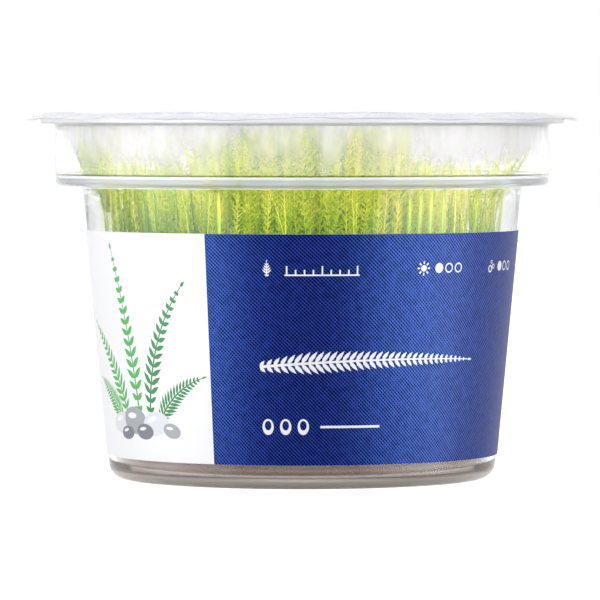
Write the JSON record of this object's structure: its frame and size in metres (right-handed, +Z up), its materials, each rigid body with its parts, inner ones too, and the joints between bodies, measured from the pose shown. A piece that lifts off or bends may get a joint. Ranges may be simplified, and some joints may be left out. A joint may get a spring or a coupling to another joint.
{
  "type": "tissue culture moss cup",
  "caption": "Clear tapered cup with a wide collar and a peel-off sealing film, wrapped in a printed label, holding a layer of gel and a dense stand of feathery aquarium moss.",
  "frame": {"origin": "middle of the face the cup stands on", "axes": "+Z up, out of the cup's mouth; -Y faces the front of the label"},
  "size_m": [0.107, 0.1062, 0.0705],
  "materials": {
    "clear_plastic": "clear moulded polypropylene, slightly hazy in the collar",
    "film": "thin clear sealing film with a wavy loose edge",
    "label": "glossy printed label, blue with a white panel",
    "gel": "set nutrient gel, cloudy grey and translucent",
    "moss": "living moss, moist yellow green to dark green"
  },
  "bodies": {
    "root": {"cup": "clear_plastic", "seal_film": "film", "label": "label", "gel": "gel", "moss_mat": "moss", "moss_shoot_01": "moss", "moss_shoot_02": "moss", "moss_shoot_03": "moss", "moss_shoot_04": "moss", "moss_shoot_05": "moss", "moss_shoot_06": "moss", "moss_shoot_07": "moss", "moss_shoot_08": "moss", "moss_shoot_09": "moss", "moss_shoot_10": "moss", "moss_shoot_11": "moss", "moss_shoot_12": "moss", "moss_shoot_13": "moss", "moss_shoot_14": "moss", "moss_shoot_15": "moss", "moss_shoot_16": "moss", "moss_shoot_17": "moss", "moss_shoot_18": "moss", "moss_shoot_19": "moss", "moss_shoot_20": "moss", "moss_shoot_21": "moss", "moss_shoot_22": "moss", "moss_shoot_23": "moss", "moss_shoot_24": "moss", "moss_shoot_25": "moss", "moss_shoot_26": "moss", "moss_shoot_27": "moss", "moss_shoot_28": "moss", "moss_shoot_29": "moss", "moss_shoot_30": "moss", "moss_shoot_31": "moss", "moss_shoot_32": "moss", "moss_shoot_33": "moss", "moss_shoot_34": "moss", "moss_shoot_35": "moss", "moss_shoot_36": "moss", "moss_shoot_37": "moss", "moss_shoot_38": "moss", "moss_shoot_39": "moss", "moss_shoot_40": "moss", "moss_shoot_41": "moss", "moss_shoot_42": "moss", "moss_shoot_43": "moss", "moss_shoot_44": "moss", "moss_shoot_45": "moss", "moss_shoot_46": "moss", "moss_shoot_47": "moss", "moss_shoot_48": "moss"}
  },
  "joints": []
}
